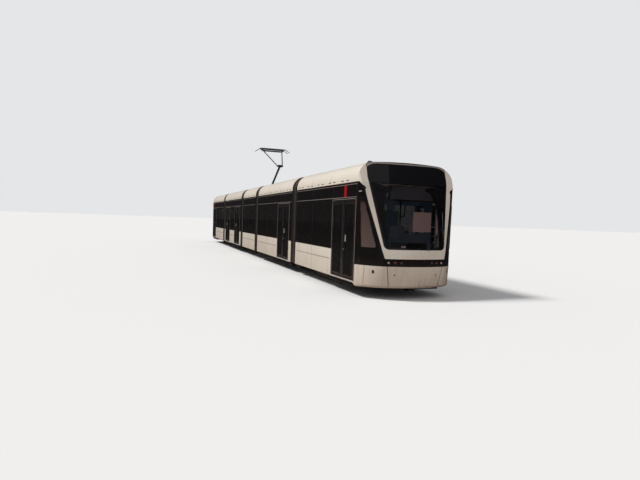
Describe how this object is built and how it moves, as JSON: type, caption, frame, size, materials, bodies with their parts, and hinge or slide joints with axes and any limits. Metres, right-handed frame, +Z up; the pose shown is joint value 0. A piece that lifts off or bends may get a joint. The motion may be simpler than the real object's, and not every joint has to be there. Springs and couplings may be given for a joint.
{
  "type": "low-floor articulated tram",
  "caption": "Low-floor articulated city tram in white and black, with raked glass cabs at both ends, gangway bellows, plug doors and a roof pantograph.",
  "frame": {"origin": "under the middle of the tram, level with the lowest point of the wheel flanges", "axes": "+X to the leading cab, +Y to the left side, +Z up"},
  "size_m": [27, 2.65, 5.3229],
  "materials": {
    "body_white": "satin",
    "dark_glass": "gloss",
    "door_black": "gloss",
    "cab_black": "gloss",
    "cab_trim": "matte",
    "seat_moulding": "matte",
    "lamp_lens": "gloss",
    "bellows_rubber": "matte",
    "underframe": "matte",
    "running_gear": "matte",
    "wheel_steel": "worn",
    "pantograph_grey": "satin"
  },
  "bodies": {
    "centre_section": {"underframe_3": "underframe", "side_walls_3": "body_white", "glazing_3": "dark_glass", "roof_3": "body_white", "seats_3": "seat_moulding", "pantograph_foot": "pantograph_grey", "bellows_2": "bellows_rubber", "bellows_3": "bellows_rubber"},
    "section_2": {"underframe_2": "underframe", "side_walls_2": "body_white", "glazing_2": "dark_glass", "doors_2": "door_black", "roof_2": "body_white", "seats_2": "seat_moulding", "bellows_1": "bellows_rubber"},
    "section_1": {"underframe_1": "underframe", "side_walls_1": "body_white", "glazing_1": "dark_glass", "doors_1": "door_black", "roof_1": "body_white", "seats_1": "seat_moulding", "cab_sides_1": "cab_black", "cab_front_1": "body_white", "windscreen_1": "dark_glass", "lamp_band_1": "cab_black", "headlamps_1": "lamp_lens", "bumper_1": "body_white", "driver_cab_1": "cab_trim"},
    "section_4": {"underframe_4": "underframe", "side_walls_4": "body_white", "glazing_4": "dark_glass", "doors_4": "door_black", "roof_4": "body_white", "seats_4": "seat_moulding", "bellows_4": "bellows_rubber"},
    "section_5": {"underframe_5": "underframe", "side_walls_5": "body_white", "glazing_5": "dark_glass", "doors_5": "door_black", "roof_5": "body_white", "seats_5": "seat_moulding", "cab_sides_5": "cab_black", "cab_front_5": "body_white", "windscreen_5": "dark_glass", "lamp_band_5": "cab_black", "headlamps_5": "lamp_lens", "bumper_5": "body_white", "driver_cab_5": "cab_trim"},
    "bogie_1": {"bogie_frame_1": "running_gear"},
    "bogie_2": {"bogie_frame_2": "running_gear"},
    "bogie_3": {"bogie_frame_3": "running_gear"},
    "wheelset_1": {"wheelset_1": "wheel_steel"},
    "wheelset_2": {"wheelset_2": "wheel_steel"},
    "wheelset_3": {"wheelset_3": "wheel_steel"},
    "wheelset_4": {"wheelset_4": "wheel_steel"},
    "wheelset_5": {"wheelset_5": "wheel_steel"},
    "wheelset_6": {"wheelset_6": "wheel_steel"},
    "pantograph_lower_arm": {"pantograph_lower_arm": "pantograph_grey"},
    "pantograph_upper_arm": {"pantograph_upper_arm": "pantograph_grey"},
    "pantograph_head": {"pantograph_head": "pantograph_grey"}
  },
  "joints": [
    {"name": "gangway_2", "type": "hinge", "parent": "centre_section", "child": "section_2", "pos_m": [1.725, 0, 0.35], "axis": [0, 0, 1], "range_deg": [-16, 16], "deforming": ["bellows_2"]},
    {"name": "gangway_1", "type": "hinge", "parent": "section_2", "child": "section_1", "pos_m": [7.57, 0, 0.35], "axis": [0, 0, 1], "range_deg": [-16, 16], "deforming": ["bellows_1"]},
    {"name": "gangway_3", "type": "hinge", "parent": "centre_section", "child": "section_4", "pos_m": [-1.725, 0, 0.35], "axis": [0, 0, -1], "range_deg": [-16, 16], "deforming": ["bellows_3"]},
    {"name": "gangway_4", "type": "hinge", "parent": "section_4", "child": "section_5", "pos_m": [-7.57, 0, 0.35], "axis": [0, 0, -1], "range_deg": [-16, 16], "deforming": ["bellows_4"]},
    {"name": "bogie_1_swivel", "type": "hinge", "parent": "section_1", "child": "bogie_1", "pos_m": [9.53, 0, 0.32], "axis": [0, 0, 1], "range_deg": [-4, 4]},
    {"name": "wheelset_1_turn", "type": "hinge", "parent": "bogie_1", "child": "wheelset_1", "pos_m": [10.43, 0, 0.328], "axis": [0, 1, 0], "continuous": true},
    {"name": "wheelset_2_turn", "type": "hinge", "parent": "bogie_1", "child": "wheelset_2", "pos_m": [8.63, 0, 0.328], "axis": [0, 1, 0], "continuous": true},
    {"name": "bogie_2_swivel", "type": "hinge", "parent": "centre_section", "child": "bogie_2", "pos_m": [0, 0, 0.32], "axis": [0, 0, 1], "range_deg": [-4, 4]},
    {"name": "wheelset_3_turn", "type": "hinge", "parent": "bogie_2", "child": "wheelset_3", "pos_m": [0.9, 0, 0.328], "axis": [0, 1, 0], "continuous": true},
    {"name": "wheelset_4_turn", "type": "hinge", "parent": "bogie_2", "child": "wheelset_4", "pos_m": [-0.9, 0, 0.328], "axis": [0, 1, 0], "continuous": true},
    {"name": "bogie_3_swivel", "type": "hinge", "parent": "section_5", "child": "bogie_3", "pos_m": [-9.53, 0, 0.32], "axis": [0, 0, 1], "range_deg": [-4, 4]},
    {"name": "wheelset_5_turn", "type": "hinge", "parent": "bogie_3", "child": "wheelset_5", "pos_m": [-8.63, 0, 0.328], "axis": [0, 1, 0], "continuous": true},
    {"name": "wheelset_6_turn", "type": "hinge", "parent": "bogie_3", "child": "wheelset_6", "pos_m": [-10.43, 0, 0.328], "axis": [0, 1, 0], "continuous": true},
    {"name": "pantograph_raise", "type": "hinge", "parent": "centre_section", "child": "pantograph_lower_arm", "pos_m": [-1.05, 0, 3.428], "axis": [0, -1, 0], "range_deg": [-25, 25]},
    {"name": "pantograph_knee", "type": "hinge", "parent": "pantograph_lower_arm", "child": "pantograph_upper_arm", "pos_m": [0.50885, 0, 4.328], "axis": [0, -1, 0], "range_deg": [-50, 50]},
    {"name": "pantograph_head_level", "type": "hinge", "parent": "pantograph_upper_arm", "child": "pantograph_head", "pos_m": [-1.05, 0, 5.228], "axis": [0, -1, 0], "range_deg": [-25, 25]}
  ],
  "couplings": [
    {"joint": "pantograph_knee", "follows": "pantograph_raise", "ratio": -2},
    {"joint": "pantograph_head_level", "follows": "pantograph_raise", "ratio": 1}
  ]
}
